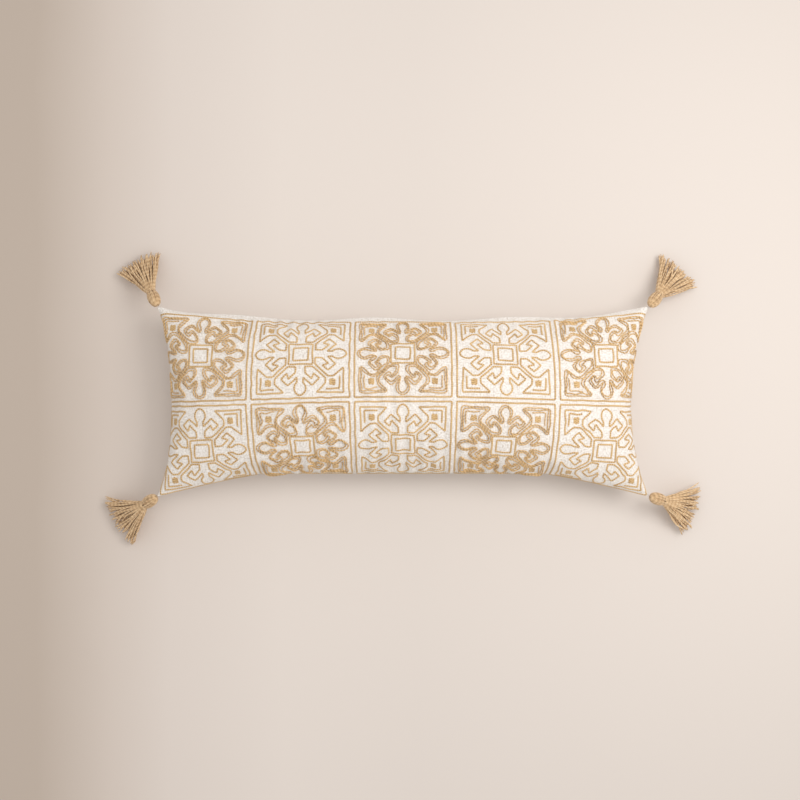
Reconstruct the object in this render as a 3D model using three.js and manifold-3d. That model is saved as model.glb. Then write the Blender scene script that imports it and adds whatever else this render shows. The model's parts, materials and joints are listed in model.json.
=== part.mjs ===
// A long lumbar throw pillow with a zipped cover, a stuffed insert and a yarn tassel at each corner.
// Millimetres. +X runs along the pillow, +Y across it and +Z up through its thickness.
// The pillow lies on its back, and the origin is the centre of the flat patch that it rests on.
import * as THREE from 'three';
import { mergeVertices } from 'three/addons/utils/BufferGeometryUtils.js';
import Module from 'manifold-3d';

// ---- driving dimensions ----

// Stuffed outline. The sides pull in between the corners.
const LENGTH = 860; // corner to corner
const WIDTH = 331; // corner to corner
const END_PULL_IN = 33; // how far the middle of a short side lies inside its corners
const PLAIN_SIDE_PULL_IN = 22; // the same for the long side at +Y
const ZIP_SIDE_PULL_IN = 40; // and for the zipped one, whose seam is tucked under the front
const END_CURVE = 2.2; // how quickly a short side runs out to its corners
const SIDE_CURVE = 1.5; // the same for a long side
const END_SPREAD = 5; // how much of the run-out towards the corners is left to the ends

// Thickness
const SEAM_HEIGHT = 70; // the seam's plane above the surface that the pillow lies on
const FRONT_CROWN = 95; // the front's highest point above the seam
const BACK_CROWN = 80; // what the back would hang below the seam, were it not pressed flat

// Cloth
const COVER_CLOTH = 1.2;
const TICKING_CLOTH = 0.8;
const FILLING_GAP_LENGTH = 120; // of the seam through which the insert was stuffed
const FILLING_GAP_HALF = 0.8; // half its height once it is drawn shut
const SEAM_CLOTH = 0.45; // either cloth where a seam presses it
const SEAM_WALL = 2; // across the long and short sides, from a seam to the inside of its panel
const SEAM_ALLOWANCE = 10;
const CLEARANCE = 0.3; // between pieces that lie on each other
const INSERT_SLACK = 2; // how much lower the insert's crown is than the cover's inside
const FILL_SLACK = 1.2; // the same for the filling inside the insert, and between their edges

// Embroidered tiles on the front
const TILE_COLUMNS = 5;
const TILE_PITCH = 180.5; // along the pillow
const TILE_GAP = 8.5; // between the borders of two tiles
const PATTERN_SHIFT = -4; // of the pattern's centre line across the pillow
const BORDER_INSET = 0.98; // the outermost border, as a share of the way from the middle to the seam
const TILE_CELLS = 3; // facets along a tile
const END_TILE_CELLS = 4; // along a tile that curves down to an end
const ROW_CELLS = 5; // across a tile
const CORD_RADIUS = 1.2;
const CORD_STANDOFF = 0.9; // of a cord over the facets of the front

// Zipper in the long seam at -Y
const ZIP_LENGTH = 460;
const ZIP_END_CLEARANCE = 10; // of the straight seam past the last tooth
const ZIP_SLOT_HALF = 5; // half the height of the opening between the two panels
const TAPE_CLEARANCE = 0.5; // of a tape's edge from the panel that it is sewn to
const TAPE_THICKNESS = 0.5;
const TAPE_REACH = 11; // how far a tape runs up or down from the zipper's centre line
const TEETH_WIDTH = 2.15;
const TEETH_DEPTH = 1.7;
const TEETH_GAP = 0.9; // between the two rows, which the slider's web runs in
const SLIDER_LENGTH = 12;
const SLIDER_HALF_HEIGHT = 4.2;
const SLIDER_PLATE = 1.6;
const SLIDER_WEB = 0.3;
const STOP_LENGTH = 2.5;
const PULL_WIDTH = 6.4;
const PULL_LENGTH = 24;
const PULL_THICKNESS = 1;
const PULL_PIN_RADIUS = 0.55;
const PULL_EYE_WALL = 0.8;

// Tassels
const LOOP_LENGTH = 14;
const LOOP_RADIUS = 1.6;
const LOOP_TIP_RADIUS = 0.5;
const LOOP_STANDOFF = 0.85; // of the loop from the corner, so that it turns without touching it
const HEAD_RADIUS = 10.5;
const NECK_RADIUS = 6.2;
const BINDING_THICKNESS = 2.2;
const BINDING_LENGTH = 6;
const SKIRT_LENGTH = 78;
const SKIRT_TOP_RADIUS = 8.5;
const SKIRT_HALF_WIDTH = 38; // at the tips
const SKIRT_HALF_THICKNESS = 7; // at the tips
const TIP_CLEARANCE = 0.5; // of the skirt over the surface that the pillow lies on

// Each tassel lies the way it fell: [name, side along X, side along Y, heading in degrees from +X].
const TASSELS = [
  ['back_left', -1, 1, 118],
  ['back_right', 1, 1, 47],
  ['front_left', -1, -1, 212],
  ['front_right', 1, -1, -18],
];

// ---- worked out from them ----

const CORNER_X = LENGTH / 2;
const CORNER_Y = WIDTH / 2;
const MIDDLE_X = CORNER_X - END_PULL_IN;
const PLAIN_SIDE_Y = CORNER_Y - PLAIN_SIDE_PULL_IN;
const ZIP_SIDE_Y = CORNER_Y - ZIP_SIDE_PULL_IN;
const STRAIGHT_X = ZIP_LENGTH / 2 + ZIP_END_CLEARANCE + SLIDER_LENGTH / 2; // the long seams are straight within it
const RIM_GAP = CLEARANCE / 2;

const wasm = await Module();
wasm.setup();

// ---- solids from points and rings ----

class SolidBuilder {
  constructor() {
    this.positions = [];
    this.triangles = [];
  }

  point(x, y, z) {
    this.positions.push(x, y, z);
    return this.positions.length / 3 - 1;
  }

  quad(a, b, c, d) {
    this.triangles.push(a, b, c, a, c, d);
  }

  // Joins two closed rings of as many points each.
  band(lower, upper) {
    const n = lower.length;
    for (let i = 0; i < n; i++) {
      const j = (i + 1) % n;
      this.quad(lower[i], lower[j], upper[j], upper[i]);
    }
  }

  // A grid of points facing up, or down if it is turned over. Returns its edge as one ring, seen from above.
  sheet(sLines, tLines, pointAt, turnedOver) {
    const rows = tLines.map((t) => sLines.map((s) => this.point(...pointAt(s, t))));
    for (let j = 0; j + 1 < rows.length; j++) {
      for (let i = 0; i + 1 < sLines.length; i++) {
        const [a, b, c, d] = [rows[j][i], rows[j][i + 1], rows[j + 1][i + 1], rows[j + 1][i]];
        if (turnedOver) this.quad(a, d, c, b);
        else this.quad(a, b, c, d);
      }
    }
    const last = sLines.length - 1;
    return [
      ...rows[0].slice(0, last),
      ...rows.slice(0, -1).map((row) => row[last]),
      ...rows.at(-1).slice(1).reverse(),
      ...rows.slice(1).reverse().map((row) => row[0]),
    ];
  }

  geometry() {
    const made = new THREE.BufferGeometry();
    made.setAttribute('position', new THREE.Float32BufferAttribute(this.positions, 3));
    made.setIndex(this.triangles);
    return made;
  }
}

function turnInsideOut(geometry) {
  const index = geometry.getIndex().array;
  for (let i = 0; i < index.length; i += 3) {
    [index[i], index[i + 1]] = [index[i + 1], index[i]];
  }
  return geometry;
}

function toManifold(geometry) {
  const bare = geometry.clone();
  bare.deleteAttribute('normal');
  bare.deleteAttribute('uv');
  const merged = mergeVertices(bare, 1e-4);
  return new wasm.Manifold(
    new wasm.Mesh({
      numProp: 3,
      vertProperties: Float32Array.from(merged.getAttribute('position').array),
      triVerts: Uint32Array.from(merged.getIndex().array),
    }),
  );
}

function fromManifold(solid) {
  const mesh = solid.getMesh();
  const made = new THREE.BufferGeometry();
  made.setAttribute('position', new THREE.Float32BufferAttribute(mesh.vertProperties, 3));
  made.setIndex(new THREE.Uint32BufferAttribute(mesh.triVerts, 1));
  return made;
}

const join = (...geometries) => fromManifold(geometries.map(toManifold).reduce((a, b) => a.add(b)));
const cut = (geometry, tool) => fromManifold(toManifold(geometry).subtract(toManifold(tool)));

// A box between two corners.
function boxBetween(low, high) {
  const size = high.map((value, axis) => value - low[axis]);
  const centre = high.map((value, axis) => (value + low[axis]) / 2);
  return new THREE.BoxGeometry(...size).translate(...centre);
}

// ---- the stuffed shape ----

// How far the cloth near an end has run out towards the corners, for s from -1 to 1.
const endRunOut = (s) => Math.sign(s) * END_PULL_IN * Math.abs(s) ** END_SPREAD;

// How far each long seam lies from the middle. Both stay straight along the zipper and then run out.
function sideReach(s, t) {
  const alongSeam = Math.abs(s * MIDDLE_X + endRunOut(s));
  const past = Math.max(0, alongSeam - STRAIGHT_X) / (CORNER_X - STRAIGHT_X);
  const pullIn = t < 0 ? ZIP_SIDE_PULL_IN : PLAIN_SIDE_PULL_IN;
  return CORNER_Y - pullIn * (1 - past ** SIDE_CURVE);
}

// The height of the stuffing over the seam, from 0 at the seam to 1 in the middle.
function crown(s, t) {
  const along = 1 - Math.abs(s) ** 4;
  const across = 1 - Math.abs(t) ** 2.2;
  return (along * across) ** 0.6;
}

// A layer of the pillow: inset is how far inside the cover's seam its edge lies.
function layerPoint({ inset, rim, rise, floor = 0 }, side) {
  return (s, t) => {
    const x = s * (MIDDLE_X - inset) + endRunOut(s) * Math.abs(t) ** END_CURVE;
    const y = t * (sideReach(s, t) - inset);
    const z = SEAM_HEIGHT + side * (rim + rise * crown(s, t));
    return [x, y, Math.max(z, floor)];
  };
}

// n + 1 values from a to b, closer together at b where bias is over 1.
function spaced(a, b, n, bias = 1) {
  return Array.from({ length: n + 1 }, (_, i) => a + (b - a) * (1 - (1 - i / n) ** bias));
}

// The grid lines of every layer, which follow the tile borders so that a border cord lies on them.
function gridLines() {
  const halfGap = TILE_GAP / 2 / MIDDLE_X;
  const borders = [];
  for (let i = 0; i < TILE_COLUMNS; i++) {
    const middle = (i - (TILE_COLUMNS - 1) / 2) * TILE_PITCH;
    const low = i === 0 ? -BORDER_INSET : (middle - TILE_PITCH / 2) / MIDDLE_X + halfGap;
    const high = i === TILE_COLUMNS - 1 ? BORDER_INSET : (middle + TILE_PITCH / 2) / MIDDLE_X - halfGap;
    borders.push([low, high]);
  }
  const columns = borders.map(([low, high], i) => {
    if (i === 0) return spaced(high, low, END_TILE_CELLS, 1.5).reverse();
    if (i === TILE_COLUMNS - 1) return spaced(low, high, END_TILE_CELLS, 1.5);
    return spaced(low, high, TILE_CELLS);
  });
  const lowRow = (PATTERN_SHIFT - TILE_GAP / 2) / ZIP_SIDE_Y;
  const highRow = (PATTERN_SHIFT + TILE_GAP / 2) / PLAIN_SIDE_Y;
  const rows = [
    spaced(lowRow, -BORDER_INSET, ROW_CELLS, 1.8).reverse(),
    spaced(highRow, BORDER_INSET, ROW_CELLS, 1.8),
  ];
  return { columns, rows, s: [-1, ...columns.flat(), 1], t: [-1, ...rows.flat(), 1] };
}

const GRID = gridLines();

// ---- cover ----

const COVER_OUTSIDE = { inset: 0, rim: RIM_GAP, floor: 0 };
const COVER_INSIDE = { inset: SEAM_WALL, rim: RIM_GAP + SEAM_CLOTH, floor: COVER_CLOTH };

function coverPanel(side, rise) {
  const builder = new SolidBuilder();
  const { s, t } = GRID;
  const outside = layerPoint({ ...COVER_OUTSIDE, rise }, side);
  const inside = layerPoint({ ...COVER_INSIDE, rise: rise - COVER_CLOTH - SEAM_CLOTH }, side);
  const allowance = layerPoint({ inset: SEAM_ALLOWANCE, rim: RIM_GAP, rise: 0 }, side);
  const outerRim = builder.sheet(s, t, outside, false);
  const innerRim = builder.sheet(s, t, inside, true);
  const edge = rimPairs(s, t);
  const lipLow = edge.map(([a, b]) => builder.point(...allowance(a, b)));
  const lipHigh = edge.map(([a, b]) => {
    const [x, y, z] = allowance(a, b);
    return builder.point(x, y, z + side * SEAM_CLOTH);
  });
  builder.band(lipLow, outerRim);
  builder.band(lipHigh, lipLow);
  builder.band(innerRim, lipHigh);
  const panel = side > 0 ? builder.geometry() : turnInsideOut(builder.geometry());
  return cut(panel, zipSlot());
}

// The s and t of each point round the edge of a grid, in the order that SolidBuilder.sheet gives.
function rimPairs(s, t) {
  const last = s.length - 1;
  return [
    ...s.slice(0, last).map((value) => [value, -1]),
    ...t.slice(0, -1).map((value) => [1, value]),
    ...s.slice(1).reverse().map((value) => [value, 1]),
    ...t.slice(1).reverse().map((value) => [-1, value]),
  ];
}

function zipSlot() {
  const half = ZIP_LENGTH / 2 + ZIP_END_CLEARANCE;
  const depth = SEAM_ALLOWANCE + 3;
  return boxBetween(
    [-half, -ZIP_SIDE_Y - depth, SEAM_HEIGHT - ZIP_SLOT_HALF],
    [half, -ZIP_SIDE_Y + depth, SEAM_HEIGHT + ZIP_SLOT_HALF],
  );
}

// The thread that binds the raw edges of both seam allowances, all the way round.
function overlockThread() {
  const radius = 0.45;
  const builder = new SolidBuilder();
  const { s, t } = GRID;
  const middle = SEAM_ALLOWANCE + CLEARANCE + radius;
  const section = [[-radius, 0], [0, -radius], [radius, 0], [0, radius]];
  const rings = section.map(([out, up]) => {
    const at = layerPoint({ inset: middle - out, rim: up, rise: 0 }, 1);
    return rimPairs(s, t).map(([a, b]) => builder.point(...at(a, b)));
  });
  rings.forEach((ring, i) => builder.band(rings[(i + 3) % 4], ring));
  return builder.geometry();
}

// ---- insert ----

const INSERT_INSET = SEAM_ALLOWANCE + 2;

function insertPanel(side, rise, floor = 0) {
  const builder = new SolidBuilder();
  const { s, t } = GRID;
  const outside = layerPoint({ inset: INSERT_INSET, rim: RIM_GAP, rise, floor }, side);
  const inside = layerPoint({
    inset: INSERT_INSET + SEAM_WALL,
    rim: RIM_GAP + SEAM_CLOTH,
    rise: rise - TICKING_CLOTH - SEAM_CLOTH,
    floor: floor + TICKING_CLOTH,
  }, side);
  const outerRim = builder.sheet(s, t, outside, false);
  const innerRim = builder.sheet(s, t, inside, true);
  builder.band(innerRim, outerRim);
  const panel = side > 0 ? builder.geometry() : turnInsideOut(builder.geometry());
  return cut(panel, fillingGap());
}

// The slit in the insert's seam that it was stuffed through, on the zipper's side.
function fillingGap() {
  const seam = -ZIP_SIDE_Y + INSERT_INSET;
  return boxBetween(
    [-FILLING_GAP_LENGTH / 2, seam - 1, SEAM_HEIGHT - FILLING_GAP_HALF],
    [FILLING_GAP_LENGTH / 2, seam + SEAM_WALL + 1, SEAM_HEIGHT + FILLING_GAP_HALF],
  );
}

function fibreFill(frontRise, backRise, floor) {
  const builder = new SolidBuilder();
  const { s, t } = GRID;
  const inset = INSERT_INSET + SEAM_WALL + FILL_SLACK;
  const top = builder.sheet(s, t, layerPoint({ inset, rim: RIM_GAP, rise: frontRise }, 1), false);
  const bottom = builder.sheet(s, t, layerPoint({ inset, rim: RIM_GAP, rise: backRise, floor }, -1), true);
  builder.band(bottom, top);
  return builder.geometry();
}

// ---- embroidered tile borders ----

// The outward direction of the cover's front at s, t.
function frontNormal(s, t) {
  const at = layerPoint({ ...COVER_OUTSIDE, rise: FRONT_CROWN }, 1);
  const step = (1 - BORDER_INSET) / 2;
  const along = new THREE.Vector3(...at(s + step, t)).sub(new THREE.Vector3(...at(s - step, t)));
  const across = new THREE.Vector3(...at(s, t + step)).sub(new THREE.Vector3(...at(s, t - step)));
  return along.cross(across).normalize();
}

// A cord laid round one tile, along the cover's grid lines.
function borderCord(column, row) {
  const pairs = [
    ...column.slice(0, -1).map((s) => [s, row[0]]),
    ...row.slice(0, -1).map((t) => [column.at(-1), t]),
    ...column.slice(1).reverse().map((s) => [s, row.at(-1)]),
    ...row.slice(1).reverse().map((t) => [column[0], t]),
  ];
  const at = layerPoint({ ...COVER_OUTSIDE, rise: FRONT_CROWN }, 1);
  const points = pairs.map(([s, t]) => new THREE.Vector3(...at(s, t)));
  const builder = new SolidBuilder();
  const section = [[1, 0], [0, 1], [-1, 0], [0, -1]];
  const rings = section.map(() => []);
  points.forEach((point, i) => {
    const before = points[(i + points.length - 1) % points.length];
    const after = points[(i + 1) % points.length];
    const up = frontNormal(...pairs[i]);
    const ahead = after.clone().sub(before).normalize();
    const turn = Math.cos(point.clone().sub(before).angleTo(after.clone().sub(point)) / 2);
    const out = ahead.clone().cross(up).normalize();
    section.forEach(([o, u], k) => {
      const place = point.clone()
        .addScaledVector(up, CORD_RADIUS * (u + 1) + CORD_STANDOFF)
        .addScaledVector(out, CORD_RADIUS * o / turn);
      rings[k].push(builder.point(place.x, place.y, place.z));
    });
  });
  rings.forEach((ring, k) => builder.band(ring, rings[(k + 1) % 4]));
  return builder.geometry();
}

// ---- zipper ----

// How far the inside of the back panel has leaned away from the seam at the zipper's ends, at a depth below it.
// It follows the panel's facets, from the seam inwards.
function panelLean(depth) {
  const s = (ZIP_LENGTH / 2 + ZIP_END_CLEARANCE) / (MIDDLE_X - SEAM_WALL);
  const rise = BACK_CROWN - COVER_CLOTH - SEAM_CLOTH;
  const depthAt = (t) => COVER_INSIDE.rim + rise * crown(s, t);
  const rows = GRID.t.map((t) => -t).filter((t) => t > 0);
  const i = rows.findIndex((t) => depthAt(t) >= depth);
  const [near, far] = i === 0 ? [1, rows[0]] : [rows[i - 1], rows[i]];
  const share = (depth - depthAt(near)) / (depthAt(far) - depthAt(near));
  return (1 - near + (near - far) * share) * (ZIP_SIDE_Y - SEAM_WALL);
}

const ZIP_FACE_Y = -ZIP_SIDE_Y; // the seam
const TAPE_SETBACK = SEAM_WALL + panelLean(TAPE_REACH) + TAPE_CLEARANCE; // of the tapes behind the seam
const TAPE_FRONT_Y = ZIP_FACE_Y + TAPE_SETBACK;
const TEETH_BACK_Y = TAPE_FRONT_Y - CLEARANCE;
const TEETH_FRONT_Y = TEETH_BACK_Y - TEETH_DEPTH;
const SLIDER_BACK_Y = TEETH_FRONT_Y - CLEARANCE;
const SLIDER_FRONT_Y = SLIDER_BACK_Y - SLIDER_PLATE;
const PULL_EYE_RADIUS = PULL_PIN_RADIUS + CLEARANCE + PULL_EYE_WALL;
const PIN_Y = SLIDER_FRONT_Y - PULL_EYE_RADIUS - CLEARANCE;
const SLIDER_REST_X = ZIP_LENGTH / 2 - SLIDER_LENGTH / 2;

// Something in the zipper, between two heights over or under its centre line.
function zipBox(side, x0, x1, y0, y1, z0, z1) {
  const heights = [SEAM_HEIGHT + side * z0, SEAM_HEIGHT + side * z1].sort((a, b) => a - b);
  return boxBetween([x0, y0, heights[0]], [x1, y1, heights[1]]);
}

function zipTape(side) {
  const half = ZIP_LENGTH / 2 + STOP_LENGTH + 2 * CLEARANCE;
  return zipBox(side, -half, half, TAPE_FRONT_Y, TAPE_FRONT_Y + TAPE_THICKNESS, TEETH_GAP / 2, TAPE_REACH);
}

function zipTeeth(side) {
  const half = ZIP_LENGTH / 2;
  return zipBox(side, -half, half, TEETH_FRONT_Y, TEETH_BACK_Y, TEETH_GAP / 2, TEETH_GAP / 2 + TEETH_WIDTH);
}

// A metal stop clipped on the tape just past the last tooth.
function topStop(side) {
  const start = ZIP_LENGTH / 2 + CLEARANCE;
  const reach = TEETH_GAP / 2 + TEETH_WIDTH;
  return zipBox(side, start, start + STOP_LENGTH, TEETH_FRONT_Y, TEETH_BACK_Y, TEETH_GAP / 2, reach);
}

// The one stop that holds both tapes together at the other end.
function bottomStop() {
  const start = -ZIP_LENGTH / 2 - CLEARANCE;
  const reach = TEETH_GAP / 2 + TEETH_WIDTH;
  return zipBox(1, start - STOP_LENGTH, start, TEETH_FRONT_Y, TEETH_BACK_Y, -reach, reach);
}

// Two plates joined by a web that runs between the rows of teeth, with ears for the pull's pin.
function slider() {
  const half = SLIDER_LENGTH / 2;
  const x0 = SLIDER_REST_X - half;
  const x1 = SLIDER_REST_X + half;
  const backPlate = TAPE_FRONT_Y + TAPE_THICKNESS + CLEARANCE;
  const flange = TEETH_GAP / 2 + TEETH_WIDTH + CLEARANCE;
  const earInside = PULL_WIDTH / 2 + CLEARANCE;
  const earOutside = half - CLEARANCE;
  const parts = [
    zipBox(1, x0, x1, SLIDER_FRONT_Y, SLIDER_BACK_Y, -SLIDER_HALF_HEIGHT, SLIDER_HALF_HEIGHT),
    zipBox(1, x0, x1, backPlate, backPlate + SLIDER_PLATE, -SLIDER_HALF_HEIGHT, SLIDER_HALF_HEIGHT),
    zipBox(1, x0 + 1, x1 - 1, SLIDER_BACK_Y - 1, backPlate + 1, -SLIDER_WEB / 2, SLIDER_WEB / 2),
    zipBox(1, x0, x1, SLIDER_BACK_Y - 1, TEETH_BACK_Y, flange, SLIDER_HALF_HEIGHT),
    zipBox(-1, x0, x1, SLIDER_BACK_Y - 1, TEETH_BACK_Y, flange, SLIDER_HALF_HEIGHT),
  ];
  for (const way of [-1, 1]) {
    const ends = [way * earInside, way * earOutside].sort((a, b) => a - b).map((x) => x + SLIDER_REST_X);
    const nose = PIN_Y - PULL_PIN_RADIUS;
    parts.push(zipBox(1, ends[0], ends[1], nose, SLIDER_FRONT_Y + 0.5, -1.2, 1.2));
  }
  const pin = new THREE.CylinderGeometry(PULL_PIN_RADIUS, PULL_PIN_RADIUS, 2 * earOutside - 0.4, 12)
    .rotateZ(Math.PI / 2)
    .translate(SLIDER_REST_X, PIN_Y, SEAM_HEIGHT);
  return join(...parts, pin);
}

// The pull hangs down from its rolled eye.
function pullTab() {
  const half = PULL_WIDTH / 2;
  const place = (geometry) => geometry.rotateZ(Math.PI / 2).translate(SLIDER_REST_X, PIN_Y, SEAM_HEIGHT);
  const eye = place(new THREE.CylinderGeometry(PULL_EYE_RADIUS, PULL_EYE_RADIUS, PULL_WIDTH, 20));
  const boreRadius = PULL_PIN_RADIUS + CLEARANCE;
  const bore = place(new THREE.CylinderGeometry(boreRadius, boreRadius, PULL_WIDTH + 1, 20));
  const blade = boxBetween(
    [SLIDER_REST_X - half, PIN_Y - PULL_THICKNESS / 2, SEAM_HEIGHT - PULL_LENGTH],
    [SLIDER_REST_X + half, PIN_Y + PULL_THICKNESS / 2, SEAM_HEIGHT - boreRadius - 0.1],
  );
  return cut(join(eye, blade), bore);
}

// ---- tassels ----

const TASSEL_LENGTH = LOOP_LENGTH + 2 * HEAD_RADIUS + BINDING_LENGTH + SKIRT_LENGTH + 3 * CLEARANCE;

// How far below level a tassel slopes so that its tips just clear the surface.
function tasselSlope() {
  let slope = 0;
  for (let i = 0; i < 60; i++) {
    const room = SEAM_HEIGHT - TIP_CLEARANCE - SKIRT_HALF_THICKNESS * Math.cos(slope);
    slope = Math.asin(Math.min(1, room / TASSEL_LENGTH));
  }
  return slope;
}

function lathe(profile, sides) {
  return new THREE.LatheGeometry(profile.map(([radius, along]) => new THREE.Vector2(radius, along)), sides);
}

function tasselLoop() {
  return lathe([
    [0, LOOP_STANDOFF],
    [LOOP_TIP_RADIUS, LOOP_STANDOFF],
    [LOOP_RADIUS, LOOP_STANDOFF + 4],
    [LOOP_RADIUS, LOOP_LENGTH - CLEARANCE],
    [0, LOOP_LENGTH - CLEARANCE],
  ], 10);
}

// A round head with a neck that runs through the binding.
function tasselHead() {
  const profile = [[0, LOOP_LENGTH]];
  const steps = 7;
  for (let i = 1; i <= steps; i++) {
    const angle = (i / steps) * (Math.PI - Math.asin(NECK_RADIUS / HEAD_RADIUS));
    profile.push([HEAD_RADIUS * Math.sin(angle), LOOP_LENGTH + HEAD_RADIUS * (1 - Math.cos(angle))]);
  }
  const neckEnd = LOOP_LENGTH + 2 * HEAD_RADIUS + BINDING_LENGTH;
  profile.push([NECK_RADIUS, neckEnd], [0, neckEnd]);
  return lathe(profile, 16);
}

function tasselBinding() {
  const low = LOOP_LENGTH + 2 * HEAD_RADIUS;
  const high = low + BINDING_LENGTH;
  const inner = NECK_RADIUS + CLEARANCE;
  const outer = inner + BINDING_THICKNESS;
  const bevel = 0.8;
  return lathe([
    [inner, low],
    [outer - bevel, low],
    [outer, low + bevel],
    [outer, high - bevel],
    [outer - bevel, high],
    [inner, high],
    [inner, low],
  ], 16);
}

// The skirt's half width, for a share of its length from 0 at the binding to 1 at the tips.
function skirtHalfWidth(share) {
  return SKIRT_TOP_RADIUS + (SKIRT_HALF_WIDTH - SKIRT_TOP_RADIUS) * share ** 1.2;
}

// The skirt fans out sideways and grows thinner towards its tips.
function tasselSkirt() {
  const start = LOOP_LENGTH + 2 * HEAD_RADIUS + BINDING_LENGTH + CLEARANCE;
  const steps = 6;
  const profile = [[0, start]];
  for (let i = 0; i <= steps; i++) {
    profile.push([skirtHalfWidth(i / steps), start + (i / steps) * SKIRT_LENGTH]);
  }
  profile.push([0, start + SKIRT_LENGTH]);
  const skirt = lathe(profile, 18);
  const position = skirt.getAttribute('position');
  for (let i = 0; i < position.count; i++) {
    const share = Math.max(0, (position.getY(i) - start) / SKIRT_LENGTH);
    const thickness = SKIRT_TOP_RADIUS + (SKIRT_HALF_THICKNESS - SKIRT_TOP_RADIUS) * share;
    position.setZ(i, position.getZ(i) * thickness / skirtHalfWidth(share));
  }
  return skirt;
}

// A tassel's own frame: its length runs along local Y, its width along local X.
function tasselFrame(sideX, sideY, heading) {
  const slope = tasselSlope();
  const angle = THREE.MathUtils.degToRad(heading);
  const along = new THREE.Vector3(
    Math.cos(angle) * Math.cos(slope),
    Math.sin(angle) * Math.cos(slope),
    -Math.sin(slope),
  );
  const sideways = new THREE.Vector3(Math.sin(angle), -Math.cos(angle), 0);
  const frame = new THREE.Group();
  frame.position.set(sideX * CORNER_X, sideY * CORNER_Y, SEAM_HEIGHT);
  const basis = new THREE.Matrix4().makeBasis(sideways, along, sideways.clone().cross(along));
  frame.quaternion.setFromRotationMatrix(basis);
  return frame;
}

// ---- the whole pillow ----

const finish = (color, roughness, metalness = 0) => new THREE.MeshStandardMaterial({ color, roughness, metalness });
const COVER_FINISH = finish(0xefe9e0, 0.95);
const TICKING_FINISH = finish(0xf4f4f2, 0.9);
const FIBRE_FINISH = finish(0xffffff, 1);
const GOLD_THREAD = finish(0xc09a63, 0.8);
const JUTE_YARN = finish(0xc9a473, 0.9);
const ZIP_CLOTH = finish(0xe6dfd2, 0.9);
const ZIP_METAL = finish(0xa8a29a, 0.35, 1);

const pillow = new THREE.Group();

function add(name, geometry, material, parent = pillow) {
  const mesh = new THREE.Mesh(geometry, material);
  mesh.name = name;
  parent.add(mesh);
}

add('cover_front', coverPanel(1, FRONT_CROWN), COVER_FINISH);
add('cover_back', coverPanel(-1, BACK_CROWN), COVER_FINISH);
add('seam_overlock_thread', overlockThread(), GOLD_THREAD);

const insertDrop = COVER_CLOTH + INSERT_SLACK;
const insertFloor = COVER_CLOTH + CLEARANCE;
add('insert_front', insertPanel(1, FRONT_CROWN - insertDrop), TICKING_FINISH);
add('insert_back', insertPanel(-1, BACK_CROWN - insertDrop, insertFloor), TICKING_FINISH);
const fillDrop = insertDrop + TICKING_CLOTH + FILL_SLACK;
const fillFloor = insertFloor + TICKING_CLOTH + CLEARANCE;
add('fibre_fill', fibreFill(FRONT_CROWN - fillDrop, BACK_CROWN - fillDrop, fillFloor), FIBRE_FINISH);

GRID.rows.forEach((row, j) => {
  GRID.columns.forEach((column, i) => {
    add(`tile_border_${j + 1}_${i + 1}`, borderCord(column, row), GOLD_THREAD);
  });
});

add('zipper_tape_upper', zipTape(1), ZIP_CLOTH);
add('zipper_tape_lower', zipTape(-1), ZIP_CLOTH);
add('zipper_teeth_upper', zipTeeth(1), ZIP_METAL);
add('zipper_teeth_lower', zipTeeth(-1), ZIP_METAL);
add('zipper_top_stop_upper', topStop(1), ZIP_METAL);
add('zipper_top_stop_lower', topStop(-1), ZIP_METAL);
add('zipper_bottom_stop', bottomStop(), ZIP_METAL);
add('zipper_slider', slider(), ZIP_METAL);
add('zipper_pull', pullTab(), ZIP_METAL);

for (const [name, sideX, sideY, heading] of TASSELS) {
  const frame = tasselFrame(sideX, sideY, heading);
  add(`tassel_${name}_loop`, tasselLoop(), JUTE_YARN, frame);
  add(`tassel_${name}_head`, tasselHead(), JUTE_YARN, frame);
  add(`tassel_${name}_binding`, tasselBinding(), JUTE_YARN, frame);
  add(`tassel_${name}_skirt`, tasselSkirt(), JUTE_YARN, frame);
  pillow.add(frame);
}

export default pillow;
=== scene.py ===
"""A long lumbar throw pillow: a stuffed, embroidered cotton cover with a zip, and a tassel at each corner.

Every length is in metres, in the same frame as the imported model.
"""

import json
import math

import bpy
import numpy as np

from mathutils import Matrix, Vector


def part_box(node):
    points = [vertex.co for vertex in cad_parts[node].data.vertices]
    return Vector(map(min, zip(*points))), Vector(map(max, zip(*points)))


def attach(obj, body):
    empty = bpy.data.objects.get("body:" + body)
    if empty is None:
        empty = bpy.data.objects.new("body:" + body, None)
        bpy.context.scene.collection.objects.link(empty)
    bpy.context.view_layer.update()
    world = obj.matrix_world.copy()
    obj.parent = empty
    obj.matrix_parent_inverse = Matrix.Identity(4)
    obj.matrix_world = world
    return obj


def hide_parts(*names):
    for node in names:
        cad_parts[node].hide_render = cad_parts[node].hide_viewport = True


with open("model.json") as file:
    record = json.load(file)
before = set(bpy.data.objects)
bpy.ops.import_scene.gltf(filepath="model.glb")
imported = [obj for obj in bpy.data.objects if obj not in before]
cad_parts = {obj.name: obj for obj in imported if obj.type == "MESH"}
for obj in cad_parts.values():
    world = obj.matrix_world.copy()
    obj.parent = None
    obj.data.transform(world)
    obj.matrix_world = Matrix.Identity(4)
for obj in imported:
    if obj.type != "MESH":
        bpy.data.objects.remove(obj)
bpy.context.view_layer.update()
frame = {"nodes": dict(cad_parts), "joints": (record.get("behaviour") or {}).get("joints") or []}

# ---- the cover's sizes ----
FLAT_HALF_LENGTH = 0.470
FLAT_HALF_WIDTH = 0.183
CORNER_X = 0.430
CORNER_Y = 0.1655
SEAM_Z = 0.070  # the seam's height over the surface
CLOTH = 0.0012

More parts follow.
